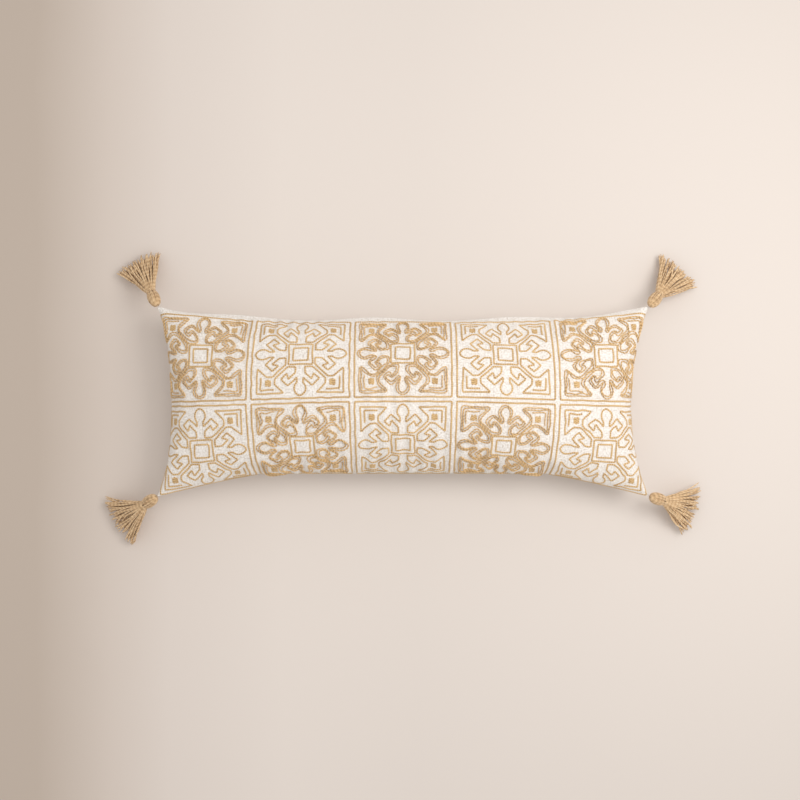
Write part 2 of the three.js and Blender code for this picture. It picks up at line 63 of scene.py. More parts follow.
# How far the middle of each side lies inside its corners, and how quickly it runs out to them
END_PULL_INS = (0.033, 0.043)
END_CURVE = 2.2
PLAIN_PULL_IN = 0.022
PLAIN_CURVE = 4
ZIP_RUN_OUT = 1.2
RIPPLE_HEIGHT = 0.0028  # of the gathers along the plain long seam
RIPPLE_LENGTH = 0.039
RIPPLE_START = 0.172
RIPPLE_FADE = 8

# The zip's slot
ZIP_SEAM_Y = -0.1255
ZIP_HALF = 0.244
ZIP_SLOT_HALF = 0.0052
ZIP_SLOT_TAPER = 0.010
ZIP_HOLD = 0.7  # share of the way to its place that the zipped edge is drawn at each round

# The cloth below the zip lies behind the pull, down to its reach
PULL_REACH = 0.025
PULL_PRESS_IN = 0.0025
PULL_SWELL = 1.2  # how quickly the cloth may swell out below the pull
PULL_END_ROOM = 0.012
PULL_END_SLOPE = 0.8

# ---- how the cloth behaves ----
STUFFED_VOLUME = 0.0256
PUSH = 0.09  # of the filling
PUSH_RISE = 12  # how sharply the push grows with the volume still lacking
LEAST_PUSH = -0.3
WEIGHT = 0.0004
KEPT_SPEED = 0.90
SEAM_FIRMNESS = 0.12
STRETCH = 1.0
PRESS = 0.3
SHEAR = 0.35
SHEAR_PRESS = 0.15
FLOOR_GAP = 0.0004
COARSE_COLUMNS = 77
COARSE_ROWS = 31
COARSE_PASS = (220, 5, 0.09)  # steps, rounds of pulling in each step, and how far bends are evened out
FINE_PASS = (120, 7, 0.055)  # the same, on a grid twice as fine
FIRST_RISE = 0.07  # of the front over the seam, before the filling pushes
FIRST_SAG = 0.06
SHAKE = 0.0012  # of the first shape, so that wrinkles have somewhere to start
LOWEST_POINT = 0.0002

# ---- the embroidery's sizes, in the flat cloth ----
TILE_COLUMNS = 5
TILE_PITCH = 0.1880
TILE_HALF_U = 0.0893
TILE_HALF_V = 0.0845
ROW_HALF_PITCH = 0.0888
PATTERN_SHIFT = -0.0075
CHAIN_PITCH = 0.0042  # of one link of chain stitch

rng = np.random.default_rng(7)


# ---- mesh building ----
class Parts:
    """Gathers vertices, faces and a per-vertex mark, and turns them into one object."""

    def __init__(self):
        self.points = []
        self.marks = []
        self.faces = []
        self.count = 0

    def add_points(self, points, marks):
        """Adds points with their marks, and returns the index of the first."""
        first = self.count
        self.points.append(np.asarray(points, float).reshape(-1, 3))
        self.marks.append(np.asarray(marks, float).reshape(-1, 3))
        self.count += len(self.points[-1])
        return first

    def grid(self, points, marks, wrap=False, close_rows=False, flip=False):
        """A grid of points (rows, columns, 3) joined by quads."""
        rows, columns = points.shape[:2]
        first = self.add_points(points, marks)
        index = first + np.arange(rows * columns).reshape(rows, columns)
        if wrap:
            index = np.hstack([index, index[:, :1]])
        if close_rows:
            index = np.vstack([index, index[:1]])
        corners_of_quads = [index[:-1, :-1], index[1:, :-1], index[1:, 1:], index[:-1, 1:]]
        quads = np.stack(corners_of_quads, -1).reshape(-1, 4)
        self.faces.append(quads[:, ::-1] if flip else quads)
        return index

    def tube(self, centre, side, up, profile, marks, closed=False):
        """Sweeps a cross-section (rings, corners, 2) along a line; open ends are capped."""
        rings = centre[:, None] + side[:, None] * profile[..., 0:1] + up[:, None] * profile[..., 1:2]
        index = self.grid(rings, marks, wrap=True, close_rows=closed)
        if not closed:
            self.faces.append(index[:1, :-1])
            self.faces.append(index[-1:, -2::-1])

    def build(self, name, material, smooth=True):
        """Makes the object."""
        mesh = bpy.data.meshes.new(name)
        points = np.concatenate(self.points)
        loops = np.concatenate([f.ravel() for f in self.faces]).astype(np.int32)
        totals = np.concatenate([np.full(len(f), f.shape[1]) for f in self.faces]).astype(np.int32)
        starts = np.concatenate([[0], np.cumsum(totals)[:-1]]).astype(np.int32)
        mesh.vertices.add(len(points))
        mesh.vertices.foreach_set("co", points.astype(np.float32).ravel())
        mesh.loops.add(len(loops))
        mesh.loops.foreach_set("vertex_index", loops)
        mesh.polygons.add(len(totals))
        mesh.polygons.foreach_set("loop_start", starts)
        mesh.polygons.foreach_set("loop_total", totals)
        mesh.update(calc_edges=True)
        mesh.validate()
        mark = mesh.attributes.new("mark", "FLOAT_VECTOR", "POINT")
        mark.data.foreach_set("vector", np.concatenate(self.marks).astype(np.float32).ravel())
        mesh.polygons.foreach_set("use_smooth", np.full(len(mesh.polygons), smooth))
        mesh.materials.append(material)
        obj = bpy.data.objects.new(name, mesh)
        bpy.context.scene.collection.objects.link(obj)
        return obj


def unit(vectors):
    """Vectors scaled to length one."""
    return vectors / np.maximum(np.linalg.norm(vectors, axis=-1, keepdims=True), 1e-12)


def resample(points, step, closed):
    """Even steps along a line of points."""
    points = np.asarray(points, float)
    if closed:
        points = np.vstack([points, points[:1]])
    lengths = np.linalg.norm(np.diff(points, axis=0), axis=1)
    along = np.concatenate([[0], np.cumsum(lengths)])
    count = max(3, int(round(along[-1] / step)))
    places = np.linspace(0, along[-1], count + 1)
    if closed:
        places = places[:-1]
    return np.stack([np.interp(places, along, points[:, k]) for k in range(points.shape[1])], 1)


def softened(points, passes, closed):
    """Rounds the corners of a line by averaging neighbours."""
    for _ in range(passes):
        if closed:
            points = (np.roll(points, 1, 0) + 2 * points + np.roll(points, -1, 0)) / 4
        else:
            points[1:-1] = (points[:-2] + 2 * points[1:-1] + points[2:]) / 4
    return points


def tangents(points, closed):
    """The direction of a line at each of its points."""
    if closed:
        return unit(np.roll(points, -1, 0) - np.roll(points, 1, 0))
    return unit(np.gradient(points, axis=0))


# ---- inflating the cover ----
def pull_together(p, a, b, rest, stiff, press):
    """Moves pairs of points towards their flat distance, more firmly when stretched than when pressed."""
    gap = p[b] - p[a]
    length = np.sqrt((gap * gap).sum(-1, keepdims=True)) + 1e-9
    error = 1 - rest / length
    move = gap * (error * np.where(error > 0, 0.5 * stiff, 0.5 * press))
    p[a] += move
    p[b] -= move


def pair_lists(nu, nv, du, dv):
    """Batches of point pairs that share no point, each with its rest length and its two stiffnesses."""
    pairs = []
    diagonal = math.hypot(du, dv)
    for start in (0, 1):
        left, right = slice(start, nu - 1, 2), slice(start + 1, nu, 2)
        lower, upper = slice(start, nv - 1, 2), slice(start + 1, nv, 2)
        pairs.append((np.s_[:, left, :], np.s_[:, right, :], du, STRETCH, PRESS))
        pairs.append((np.s_[:, :, lower], np.s_[:, :, upper], dv, STRETCH, PRESS))
        pairs.append((np.s_[:, left, :-1], np.s_[:, right, 1:], diagonal, SHEAR, SHEAR_PRESS))
        pairs.append((np.s_[:, left, 1:], np.s_[:, right, :-1], diagonal, SHEAR, SHEAR_PRESS))
    return pairs


def bend(p, amount):
    """Evens out sharp bends, inside each panel, as stiff cloth does."""
    p[:, 1:-1] += amount * ((p[:, :-2] + p[:, 2:]) / 2 - p[:, 1:-1])
    p[:, :, 1:-1] += amount * ((p[:, :, :-2] + p[:, :, 2:]) / 2 - p[:, :, 1:-1])


def area_normals(p):
    """Each point's share of the surface as an outward vector, for both panels."""
    across = np.gradient(p, axis=1)
    up = np.gradient(p, axis=2)
    normals = np.cross(across, up)
    normals[1] *= -1
    return normals


def side_curve(share, power):
    """How much of the pull-in is left at a share of the way from the middle of a side to its corner."""
    return 1 - np.abs(share) ** power


def sew_zip_side(p, firm):
    """Joins the panels along the -Y seam, and holds them apart in a straight slot where the zip is."""
    low = p[:, :, 0]
    middle = low.mean(0)
    zipped = np.abs(middle[:, 0]) < ZIP_HALF
    low[:, ~zipped] = middle[~zipped]
    low[:, zipped, 0] = middle[zipped, 0]
    low[:, zipped, 1] += ZIP_HOLD * (ZIP_SEAM_Y - low[:, zipped, 1])
    slot = ZIP_SLOT_HALF * np.minimum(1, (ZIP_HALF - np.abs(low[0, zipped, 0])) / ZIP_SLOT_TAPER)
    low[0, zipped, 2] += ZIP_HOLD * (SEAM_Z + slot - low[0, zipped, 2])
    low[1, zipped, 2] += ZIP_HOLD * (SEAM_Z - slot - low[1, zipped, 2])
    p[:, :, 0] = low
    p[:, ~zipped, 0, 2] += firm * (SEAM_Z - p[:, ~zipped, 0, 2])
    beyond = np.abs(p[0, ~zipped, 0, 0]) - ZIP_HALF
    run_out = (np.maximum(beyond, 0) / (CORNER_X - ZIP_HALF)) ** ZIP_RUN_OUT
    low_y = ZIP_SEAM_Y - (CORNER_Y + ZIP_SEAM_Y) * run_out
    p[:, ~zipped, 0, 1] += firm * (low_y - p[:, ~zipped, 0, 1])


def sew_plain_side(p, firm):
    """Draws the +Y seam to its line, with the shallow gathers of a sewn edge."""
    top_x = p[0, :, -1, 0]
    share = top_x / CORNER_X
    ripple = RIPPLE_HEIGHT * np.cos((top_x + RIPPLE_START) / RIPPLE_LENGTH) * side_curve(share, RIPPLE_FADE)
    top_y = CORNER_Y - PLAIN_PULL_IN * side_curve(share, PLAIN_CURVE) - ripple
    p[:, :, -1, 1] += firm * (top_y - p[:, :, -1, 1])
    p[:, :, -1, 2] += firm * (SEAM_Z - p[:, :, -1, 2])


def sew_ends(p, firm):
    """Draws each short seam to its line."""
    for end, sign, pull_in in ((0, -1, END_PULL_INS[0]), (-1, 1, END_PULL_INS[1])):
        end_y = p[0, end, :, 1]
        end_x = sign * (CORNER_X - pull_in * side_curve(end_y / CORNER_Y, END_CURVE))
        p[:, end, :, 0] += firm * (end_x - p[:, end, :, 0])
        p[:, end, :, 2] += firm * (SEAM_Z - p[:, end, :, 2])


def sew(p, firm):
    """Joins the two panels at their edges, and holds the seams and corners in place."""
    p[:, 0] = p[:, 0].mean(0)
    p[:, -1] = p[:, -1].mean(0)
    p[:, :, -1] = p[:, :, -1].mean(0)
    sew_zip_side(p, firm)
    sew_plain_side(p, firm)
    sew_ends(p, firm)
    for i, x in ((0, -CORNER_X), (-1, CORNER_X)):
        for j, y in ((0, -CORNER_Y), (-1, CORNER_Y)):
            p[:, i, j] = (x, y, SEAM_Z)


def clear_pull(p):
    """Keeps the cloth below the zip behind the pull, which hangs against it."""
    below = SEAM_Z - p[1, ..., 2]
    pressed_in = PULL_PRESS_IN * np.clip(below / PULL_REACH, 0, 1)
    swell = PULL_SWELL * np.maximum(below - PULL_REACH, 0)
    past_end = PULL_END_SLOPE * np.maximum(np.abs(p[1, ..., 0]) - (ZIP_HALF - PULL_END_ROOM), 0)
    wall = ZIP_SEAM_Y + pressed_in - swell - past_end
    p[1, ..., 1] = np.maximum(p[1, ..., 1], wall)


def relax(p, u, v, steps, rounds, bending):
    """Steps the cloth under its filling's pressure, its weight and the surface below."""
    nu, nv = len(u), len(v)
    pairs = pair_lists(nu, nv, u[1] - u[0], v[1] - v[0])
    speed = np.zeros_like(p)
    step = u[1] - u[0]
    for _ in range(steps):
        normals = area_normals(p)
        volume = (p * normals).sum() / 3
        lack = np.clip(PUSH_RISE * (STUFFED_VOLUME - volume) / STUFFED_VOLUME, LEAST_PUSH, 1)
        before = p.copy()
        speed += PUSH * step * lack * normals / (step * step)
        speed[..., 2] -= WEIGHT * step
        p += speed
        for _ in range(rounds):
            for a, b, rest, stiff, press in pairs:
                pull_together(p, a, b, rest, stiff, press)
            bend(p, bending)
            sew(p, SEAM_FIRMNESS)
            clear_pull(p)
            np.maximum(p[..., 2], FLOOR_GAP, out=p[..., 2])
        speed = KEPT_SPEED * (p - before)
    return p


def finer(values, axis):
    """Twice as many cells along an axis, on a smooth curve through the old points."""
    values = np.moveaxis(values, axis, 0)
    ends = np.concatenate([[2 * values[0] - values[1]], values, [2 * values[-1] - values[-2]]])
    middle = (9 * (ends[1:-2] + ends[2:-1]) - ends[:-3] - ends[3:]) / 16
    out = np.empty((2 * len(values) - 1,) + values.shape[1:])
    out[0::2] = values
    out[1::2] = middle
    return np.moveaxis(out, 0, axis)


def inflate_cover():
    """The simulated cover: the flat cloth's u and v, and both panels' points as one array (2, u, v, xyz)."""
    u = np.linspace(-FLAT_HALF_LENGTH, FLAT_HALF_LENGTH, COARSE_COLUMNS)
    v = np.linspace(-FLAT_HALF_WIDTH, FLAT_HALF_WIDTH, COARSE_ROWS)
    s = (u / FLAT_HALF_LENGTH)[:, None]
    t = (v / FLAT_HALF_WIDTH)[None, :]
    dome = ((1 - s ** 4) * (1 - t * t)) ** 0.7
    p = np.zeros((2, len(u), len(v), 3))
    p[..., 0] = s * CORNER_X
    p[..., 1] = t * CORNER_Y
    p[0, ..., 2] = SEAM_Z + FIRST_RISE * dome
    p[1, ..., 2] = SEAM_Z - FIRST_SAG * dome
    shake = rng.normal(0, SHAKE, p.shape)
    p += shake * dome[None, :, :, None]
    p = relax(p, u, v, *COARSE_PASS)
    u, v = finer(u, 0), finer(v, 0)
    p = finer(finer(p, 1), 2)
    p = relax(p, u, v, *FINE_PASS)
    for _ in range(1):
        u, v = finer(u, 0), finer(v, 0)
        p = finer(finer(p, 1), 2)
    p[..., 2] -= p[..., 2].min() - LOWEST_POINT
    return u, v, p


class Surface:
    """A panel of the cover, which gives the place and outward direction at any point of the flat cloth."""

    def __init__(self, u, v, points, outward):
        self.u, self.v, self.points = u, v, points
        normals = np.cross(np.gradient(points, axis=0), np.gradient(points, axis=1))
        self.normals = unit(normals) * outward

    def at(self, uv):
        """Place and outward direction at each (u, v)."""
        fu = np.clip((uv[:, 0] - self.u[0]) / (self.u[1] - self.u[0]), 0, len(self.u) - 1.001)
        fv = np.clip((uv[:, 1] - self.v[0]) / (self.v[1] - self.v[0]), 0, len(self.v) - 1.001)
        i, j = fu.astype(int), fv.astype(int)
        a, b = (fu - i)[:, None], (fv - j)[:, None]
        found = []
        for grid in (self.points, self.normals):
            low = grid[i, j] * (1 - a) + grid[i + 1, j] * a
            high = grid[i, j + 1] * (1 - a) + grid[i + 1, j + 1] * a
            found.append(low * (1 - b) + high * b)
        return found[0], unit(found[1])


# ---- materials ----
class Look:
    """A node material with a few helpers for noise, ramps and bumps."""

    def __init__(self, name, roughness, sheen=0.0, metallic=0.0):
        self.material = bpy.data.materials.new(name)
        self.material.use_nodes = True
        self.tree = self.material.node_tree
        self.shader = self.tree.nodes["Principled BSDF"]
        self.shader.inputs["Roughness"].default_value = roughness
        self.shader.inputs["Sheen Weight"].default_value = sheen
        self.shader.inputs["Metallic"].default_value = metallic
        self.shader.inputs["Specular IOR Level"].default_value = 0.3

    def node(self, kind, **inputs):
        """A node with its inputs linked or set."""
        made = self.tree.nodes.new(kind)
        for key, value in inputs.items():
            self.feed(made, key.replace("_", " "), value)
        return made

    def feed(self, node, key, value):
        """Links a socket to an input, or sets the input to a value."""
        if isinstance(value, bpy.types.NodeSocket):
            self.tree.links.new(value, node.inputs[key])
        else:
            node.inputs[key].default_value = value

    def place(self, scale=(1, 1, 1)):
        """Object coordinates, stretched."""
        coordinates = self.node("ShaderNodeTexCoord").outputs["Object"]
        return self.node("ShaderNodeMapping", Vector=coordinates, Scale=scale).outputs["Vector"]

    def mark(self, scale=(1, 1, 1)):
        """The mesh's own running coordinates, stretched."""
        attribute = self.node("ShaderNodeAttribute")
        attribute.attribute_name = "mark"
        running = attribute.outputs["Vector"]
        return self.node("ShaderNodeMapping", Vector=running, Scale=scale).outputs["Vector"]

    def noise(self, vector, scale, detail=3.0):
        """Soft noise from 0 to 1."""
        return self.node("ShaderNodeTexNoise", Vector=vector, Scale=scale, Detail=detail).outputs["Fac"]

    def wave(self, vector, scale, direction, distortion=0.0):
        """Even bands from 0 to 1."""
        made = self.node("ShaderNodeTexWave", Vector=vector, Scale=scale, Distortion=distortion)
        made.bands_direction = direction
        made.inputs["Detail Scale"].default_value = 2.0
        return made.outputs["Fac"]

    def math(self, operation, a, b):
        """The result of one operation on two values."""
        made = self.node("ShaderNodeMath")
        made.operation = operation
        self.feed(made, 0, a)
        self.feed(made, 1, b)
        return made.outputs["Value"]

    def ramp(self, value, stops):
        """A colour for each value, between the stops."""
        made = self.node("ShaderNodeValToRGB", Fac=value)
        elements = made.color_ramp.elements
        while len(elements) < len(stops):
            elements.new(0.5)
        for element, (position, color) in zip(elements, stops):
            element.position = position
            element.color = (*color, 1)
        return made.outputs["Color"]

    def color(self, socket):
        """Gives the surface its colour."""
        self.tree.links.new(socket, self.shader.inputs["Base Color"])

    def bump(self, height, strength, distance):
        """Gives the surface its fine relief."""
        made = self.node("ShaderNodeBump", Height=height, Strength=strength, Distance=distance)
        self.tree.links.new(made.outputs["Normal"], self.shader.inputs["Normal"])


def woven(name, light, dark, threads_per_metre, roughness=0.92, depth=0.0004, solid=False):
    """Plain-woven cotton: warp and weft ribs of uneven, slubby yarn."""
    look = Look(name, roughness, sheen=0.15)
    stretched = look.place if solid else look.mark
    flat = stretched()
    warp = look.wave(flat, threads_per_metre, "X", 1.2)
    weft = look.wave(flat, threads_per_metre, "Z" if solid else "Y", 1.2)
    ribs = look.math("MAXIMUM", warp, weft)
    slub_u = look.noise(stretched((60, 900, 900)), 1.0, 2.0)
    slub_v = look.noise(stretched((900, 60, 60)), 1.0, 2.0)
    slubs = look.math("ADD", slub_u, slub_v)
    fine = look.noise(flat, 1400.0, 2.0)
    grain = look.noise(flat, 330.0, 1.0)
    tone = look.math("MULTIPLY", ribs, 0.14)
    tone = look.math("ADD", tone, look.math("MULTIPLY", slubs, 0.30))
    tone = look.math("ADD", tone, look.math("MULTIPLY", fine, 0.15))
    tone = look.math("ADD", tone, look.math("MULTIPLY", grain, 0.60))
    look.color(look.ramp(tone, [(0.60, dark), (0.86, light)]))
    height = look.math("ADD", look.math("MULTIPLY", ribs, 0.5), slubs)
    look.bump(look.math("ADD", height, fine), 0.9, depth)
    return look.material


def yarn(name, light, middle, dark, pitch, depth=0.0003, roughness=0.8, chained=False, painted_groove_shade=0.30):
    """Twisted yarn: slanting plies, or the links of a chain stitch, with fine fibres and a wandering tone;
    bands of painted shade darken the grooves between plies, or the necks where two chain links meet.
    """
    look = Look(name, roughness, sheen=0.25)
    direction = "X" if chained else "DIAGONAL"
    plies = look.wave(look.mark((1, 1, 0)), 2 * math.pi / (20 * pitch), direction, 0.6)
    fibres = look.noise(look.mark((220, 2600, 40)), 1.0, 3.0)
    patches = look.noise(look.mark((28, 28, 90)), 1.0, 2.0)
    # Painted shade: the ply bands darken the colour at the narrow necks where chain links meet, and in the
    # grooves between twisted plies.
    tone = look.math("ADD", look.math("MULTIPLY", plies, painted_groove_shade),
                     look.math("MULTIPLY", fibres, 0.65 - painted_groove_shade))
    tone = look.math("ADD", tone, look.math("MULTIPLY", patches, 0.55))
    look.color(look.ramp(tone, [(0.34, dark), (0.56, middle), (0.80, light)]))
    look.bump(look.math("ADD", plies, fibres), 0.8, depth)
    return look.material


def metal(name, light, dark):
    """Worn zip metal: fine scratches, dull in the hollows."""
    look = Look(name, 0.38, metallic=1.0)
    scratches = look.noise(look.place((300, 2400, 900)), 1.0, 4.0)
    wear = look.noise(look.place(), 260.0, 3.0)
    tone = look.math("ADD", look.math("MULTIPLY", scratches, 0.4), look.math("MULTIPLY", wear, 0.6))
    look.color(look.ramp(tone, [(0.35, dark), (0.62, light)]))
    look.bump(tone, 0.25, 0.00015)
    return look.material


def fluff(name):
    """Loose white fibre."""
    look = Look(name, 1.0, sheen=0.5)
    clumps = look.noise(look.place(), 55.0, 6.0)
    look.color(look.ramp(clumps, [(0.3, (0.68, 0.67, 0.65)), (0.7, (0.93, 0.93, 0.92))]))
    look.bump(clumps, 1.0, 0.004)
    return look.material


def paper_floor(name):
    """A pale warm backdrop with painted shade that grows darker to the left, where the light falls off, with
    a barely visible mottle.
    """
    look = Look(name, 0.9)
    mottle = look.noise(look.place(), 3.0, 4.0)
    across = look.node("ShaderNodeSeparateXYZ", Vector=look.place()).outputs["X"]
    # Painted shade: the backdrop's colour darkens towards the left, standing in for the light falling off
    # there.
    painted_shade_position = look.math("ADD", across, 0.80)
    painted_shade_position = look.math("ADD", painted_shade_position, look.math("MULTIPLY", mottle, 0.04))
    look.color(look.ramp(painted_shade_position, [(0.16, (0.530, 0.445, 0.375)), (0.29, (0.655, 0.570, 0.505)),
                                (0.40, (0.720, 0.642, 0.583)), (0.60, (0.752, 0.678, 0.620)),
                                (0.85, (0.722, 0.652, 0.597))]))
    look.bump(look.noise(look.place(), 700.0, 2.0), 0.05, 0.0003)
    return look.material


COTTON = woven("cover_cotton", (1.0, 0.955, 0.91), (0.66, 0.58, 0.49), 180.0, depth=0.0006)
TICKING = woven("ticking_cotton", (0.93, 0.93, 0.91), (0.74, 0.74, 0.72), 420.0, depth=0.0002)
GOLD = yarn("gold_thread", (0.84, 0.60, 0.32), (0.66, 0.43, 0.19), (0.36, 0.20, 0.07),
            CHAIN_PITCH, chained=True, painted_groove_shade=0.50)
DEEP_GOLD = yarn("deep_gold_thread", (0.88, 0.63, 0.34), (0.66, 0.425, 0.19), (0.24, 0.13, 0.045), 0.0030)
JUTE = yarn("jute_yarn", (0.88, 0.655, 0.40), (0.62, 0.41, 0.22), (0.20, 0.11, 0.05),
            0.0040, 0.0004, painted_groove_shade=0.14)
FIBRE = fluff("white_fibre")
ZIP_CLOTH = woven("zip_tape_cloth", (0.85, 0.80, 0.725), (0.66, 0.61, 0.54), 420.0, depth=0.00015, solid=True)
ZIP_THREAD = yarn("zip_thread", (0.86, 0.81, 0.74), (0.78, 0.72, 0.63), (0.62, 0.55, 0.46),
                  CHAIN_PITCH, chained=True)
ZIP_METAL = metal("zip_metal", (0.66, 0.62, 0.56), (0.34, 0.31, 0.27))


def finish_piece(obj, body, slot, *nodes):
    """Every piece rides on its body and stands for its CAD nodes, which are hidden; the slot is not used."""
    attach(obj, body)
    if nodes:
        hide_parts(*nodes)
    return obj


# ---- the cover, the insert and the fibre ----
INSERT_MARGIN = 0.010  # from the flat cloth's edge
INSERT_DEPTH = 0.0030  # under the cover's surface
TICKING_THICKNESS = 0.0006
FIBRE_MARGIN = 0.016
FIBRE_DEPTH = 0.0060
LUMP_HEIGHT = 0.0012
ZIP_CLEARANCE = 0.0085

SEAM_THREAD_INSET = 0.004
SEAM_THREAD_STEP = 0.0016
SEAM_THREAD_SWING = 0.0022
SEAM_THREAD_DEPTH = 0.0024
SEAM_THREAD_RADIUS = 0.0004
SEAM_THREAD_SIDES = 5


def flat_marks(u, v, layer):
    """The flat cloth's own coordinates at each grid point."""
    marks = np.zeros((len(u), len(v), 3))
    marks[..., 0] = u[:, None]
    marks[..., 1] = v[None, :]
    marks[..., 2] = layer
    return marks


def cover_panel(name, surface, turned):
    """One panel of the cover as a closed shell of cloth."""
    parts = Parts()
    u, v = surface.u, surface.v
    outer = surface.points
    inner = outer - surface.normals * CLOTH
    marks = flat_marks(u, v, turned)
    top = parts.grid(outer, marks, flip=turned)
    low = parts.grid(inner, marks, flip=not turned)
    rim = np.concatenate([top[:-1, 0], top[-1, :-1], top[:0:-1, -1], top[0, :0:-1]])
    under = np.concatenate([low[:-1, 0], low[-1, :-1], low[:0:-1, -1], low[0, :0:-1]])
    hem = np.stack([rim, under, np.roll(under, -1), np.roll(rim, -1)], 1)
    parts.faces.append(hem if turned else hem[:, ::-1])
    return parts.build(name, COTTON)


def shrunken(front, back, margin, depth, columns, rows):
    """Front and back of a body inside the cover, kept clear of the zip."""
    u = np.linspace(front.u[0] + margin, front.u[-1] - margin, columns)
    v = np.linspace(front.v[0] + margin, front.v[-1] - margin, rows)
    uv = np.stack(np.meshgrid(u, v, indexing="ij"), -1).reshape(-1, 2)
    layers = []
    for surface in (front, back):
        points, normals = surface.at(uv)
        layers.append((points - normals * depth).reshape(columns, rows, 3))
    p = np.stack(layers)
    for edge in (np.s_[:, 0], np.s_[:, -1], np.s_[:, :, 0], np.s_[:, :, -1]):
        p[edge] = p[edge].mean(0)
    near_zip = np.clip((ZIP_HALF + 0.03 - np.abs(p[..., 0])) / 0.02, 0, 1)
    room = ZIP_SEAM_Y + ZIP_CLEARANCE + depth
    p[..., 1] += near_zip * np.maximum(0, room - p[..., 1])
    return u, v, p


def insert_and_fill(front, back):
    """The ticking insert's two panels, and the fibre inside it."""
    u, v, p = shrunken(front, back, INSERT_MARGIN, INSERT_DEPTH, 121, 47)
    for index, name in ((0, "insert_front"), (1, "insert_back")):
        panel = Surface(u, v, p[index], 1 if index == 0 else -1)
        parts = Parts()
        marks = flat_marks(u, v, index)
        low = panel.points - panel.normals * TICKING_THICKNESS
        edge = np.zeros(p.shape[1:3], bool)
        edge[0] = edge[-1] = edge[:, 0] = edge[:, -1] = True
        low[edge] = panel.points[edge]
        parts.grid(panel.points, marks, flip=bool(index))
        parts.grid(low, marks, flip=not index)
        ticking = parts.build("ticking_" + name, TICKING)
        finish_piece(ticking, "pillow", "ticking", name)
    u, v, p = shrunken(front, back, FIBRE_MARGIN, FIBRE_DEPTH, 101, 41)
    parts = Parts()
    for index in (0, 1):
        lumps = LUMP_HEIGHT * np.sin(u[:, None] * 130 + index) * np.sin(v[None, :] * 170 + 2 * index)
        lumps = lumps * (1 - (u[:, None] / u[0]) ** 8) * (1 - (v[None, :] / v[0]) ** 8)
        p[index, ..., 2] += lumps * (1 if index == 0 else -1)
        parts.grid(p[index], flat_marks(u, v, index), flip=bool(index))
    fibre = finish_piece(parts.build("fibre_filling", FIBRE), "pillow", "fibre", "fibre_fill")


def seam_thread(front):
    """Overlock stitching that zigzags along the turned-in seam allowances, inside the cover."""
    u0 = front.u[-1] - SEAM_THREAD_INSET
    v0 = front.v[-1] - SEAM_THREAD_INSET
    rim = resample([(-u0, -v0), (u0, -v0), (u0, v0), (-u0, v0)], SEAM_THREAD_STEP, True)
    zigzag = SEAM_THREAD_SWING * (np.arange(len(rim)) % 4 > 1)
    inward = 1 - zigzag[:, None] / np.array([u0, v0])
    points, normals = front.at(rim * inward)
    points = points - normals * SEAM_THREAD_DEPTH
    near_zip = (np.abs(points[:, 0]) < ZIP_HALF + 0.012) & (points[:, 1] < 0)
    points[:, 1] += np.where(near_zip, 0.010, 0.0)
    along = tangents(points, True)
    side = unit(np.cross(along, normals))
    angles = np.arange(SEAM_THREAD_SIDES) * 2 * math.pi / SEAM_THREAD_SIDES
    profile = np.stack([np.cos(angles), np.sin(angles)], 1) * SEAM_THREAD_RADIUS
    profile = np.broadcast_to(profile, (len(points), SEAM_THREAD_SIDES, 2))
    marks = np.zeros((len(points), SEAM_THREAD_SIDES, 3))
    marks[..., 0] = np.arange(len(points))[:, None] * SEAM_THREAD_STEP
    parts = Parts()
    parts.tube(points, side, normals, profile, marks, closed=True)
    return parts.build("overlock_stitching", GOLD)


# ---- embroidery ----
CHAIN_HALF_WIDTH = 0.00175
CHAIN_HEIGHT = 0.00105
CHAIN_SECTION = np.array([(-0.6, -0.3), (-1.0, 0.15), (-0.55, 0.95), (0.0, 0.55), (0.55, 0.95),
                          (1.0, 0.15), (0.6, -0.3)])
CHAIN_STEP = 0.0010
CHAIN_WOBBLE = 0.00040
CHAIN_LIFT = 0.0001
CORD_RADIUS = 0.00108
CORD_TWIST = 0.011
CORD_SIDES = 7
CORD_STEP = 0.0012
CORD_WOBBLE = 0.0009
CORD_LIFT = 0.00095
CORD_GAP = 0.0019  # from the motif's outline to each of the two cords along it
WOBBLE_LENGTH = 0.022

# The motif, as shares of half a tile
PETAL_TIP = 0.937
PETAL_MIDDLE = 0.780
PETAL_HALF_WIDTH = 0.122
HOOK_AND_CORNER = [
    (0.066, 0.544), (0.150, 0.630), (0.248, 0.719), (0.392, 0.572), (0.275, 0.450), (0.235, 0.580),
    (0.100, 0.440), (0.093, 0.303), (0.250, 0.301), (0.520, 0.565), (0.520, 0.680), (0.334, 0.877),
    (0.888, 0.888),
]
BRACKET = [(0.805, 0.530), (0.805, 0.805), (0.530, 0.805)]
SQUARE_SIZES = (0.244, 0.153)
PATCH_CENTRE = 0.655
PATCH_HALF = 0.060


def motif_outline():
    """The tile's one closed outline, from an eighth of it mirrored about the diagonal and both axes."""
    turn = np.linspace(0, 0.8 * math.pi, 7)
    petal_x = PETAL_HALF_WIDTH * np.sin(turn) ** 1.2
    petal_y = PETAL_MIDDLE + (PETAL_TIP - PETAL_MIDDLE) * np.cos(turn)
    octant = list(zip(petal_x, petal_y)) + HOOK_AND_CORNER
    quarter = octant + [(y, x) for x, y in octant[-2::-1]]
    lower = [(x, -y) for x, y in quarter[-2::-1]]
    right = quarter + lower
    left = [(-x, y) for x, y in right[-2:0:-1]]
    return np.array(right + left)


def square(half):
    """A square round the tile's centre."""
    return np.array([(-half, -half), (half, -half), (half, half), (-half, half)])


def corners(line):
    """A line repeated in the tile's four corners."""
    line = np.array(line)
    return [line * (sx, sy) for sx in (-1, 1) for sy in (-1, 1)]


